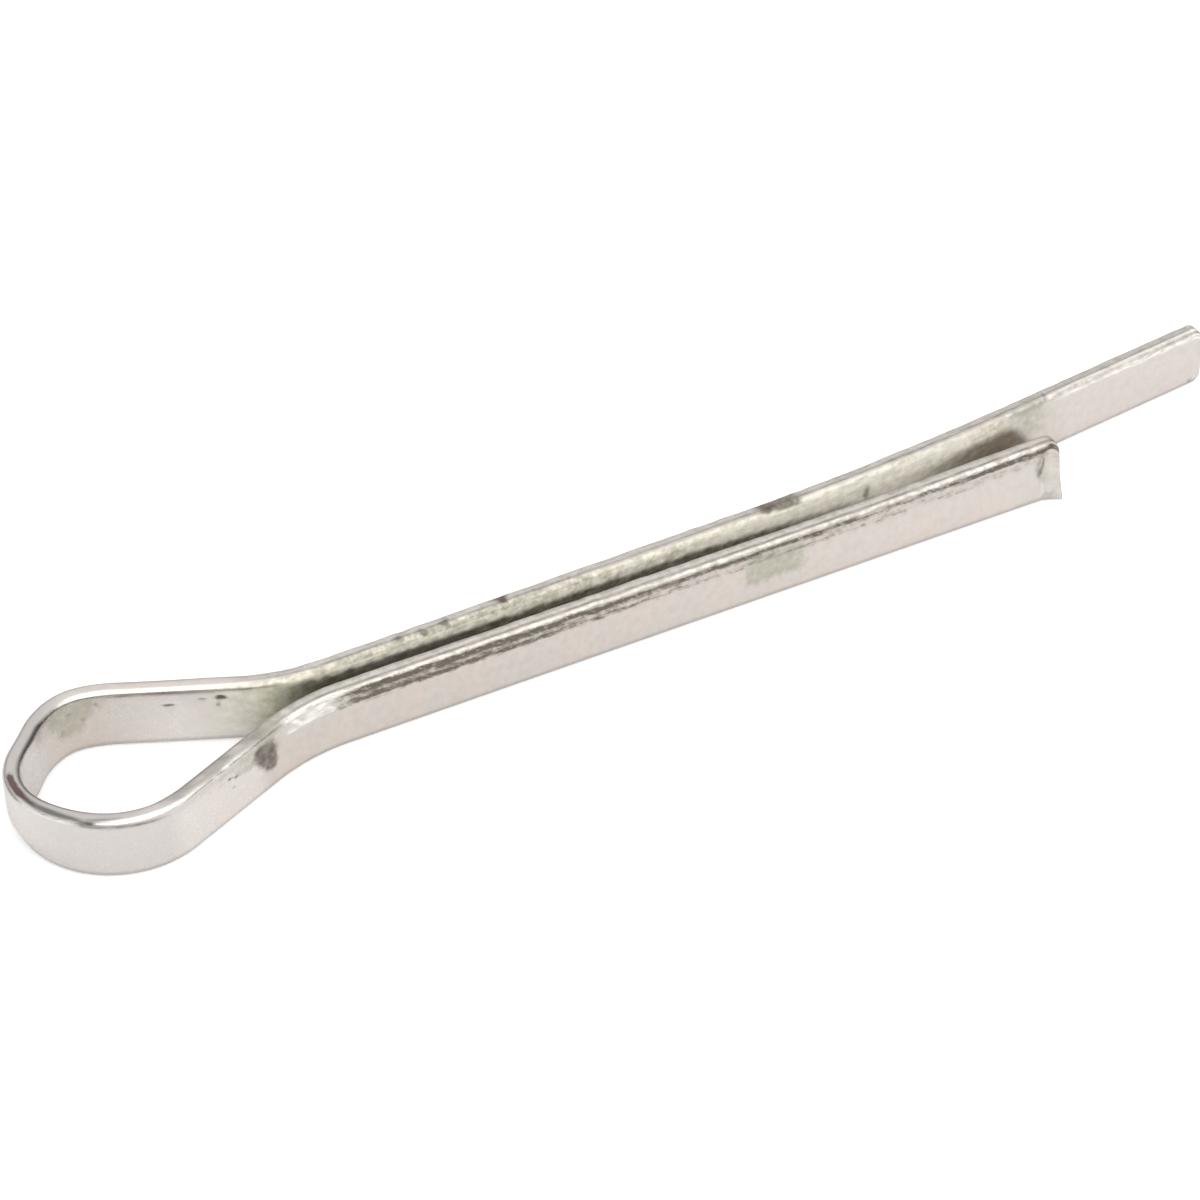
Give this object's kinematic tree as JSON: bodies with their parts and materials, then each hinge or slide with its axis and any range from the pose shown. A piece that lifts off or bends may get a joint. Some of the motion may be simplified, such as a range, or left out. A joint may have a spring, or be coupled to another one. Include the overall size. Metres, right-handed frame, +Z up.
{
  "type": "cotter pin",
  "caption": "Cotter pin bent from flat steel strip, with a teardrop eye and a long and a short leg, to lock a nut or shaft through a cross hole.",
  "frame": {"origin": "on the shank's axis at half the strip's height, where the rim of a 5 mm hole stops the eye", "axes": "+X along the shank from the eye to the leg ends, +Y across to the long leg, +Z up, square to the plane of the bend"},
  "size_m": [0.0781, 0.0116, 0.004],
  "materials": {
    "zinc_plated_steel": "bright zinc plating over drawn steel strip, satin, rubbed and pitted along the rolled edges"
  },
  "bodies": {
    "root": {"cotter_pin": "zinc_plated_steel"}
  },
  "joints": []
}
